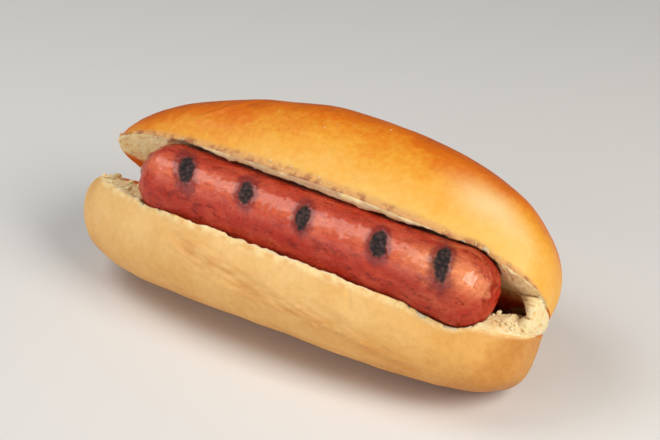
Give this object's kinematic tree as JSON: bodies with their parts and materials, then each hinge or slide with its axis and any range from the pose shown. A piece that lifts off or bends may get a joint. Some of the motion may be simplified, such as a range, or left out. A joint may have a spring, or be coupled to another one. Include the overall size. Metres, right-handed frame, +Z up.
{
  "type": "hot dog",
  "caption": "Grilled frankfurter in a soft finger roll that is slit along its side and opened, resting on its underside.",
  "frame": {"origin": "on the table, under the middle of the bounding box", "axes": "+X along the roll towards the end where the halves are still joined, +Z up, and the mouth looks up and towards -Y"},
  "size_m": [0.1728, 0.0748, 0.0686],
  "materials": {
    "bread": "baked roll: satin golden-brown crust on the crown, pale soft sides, matt white crumb on the cut faces",
    "frankfurter": "grilled red-pink casing with a moist sheen and dark char spots"
  },
  "bodies": {
    "root": {"bun": "bread", "sausage": "frankfurter"}
  },
  "joints": []
}
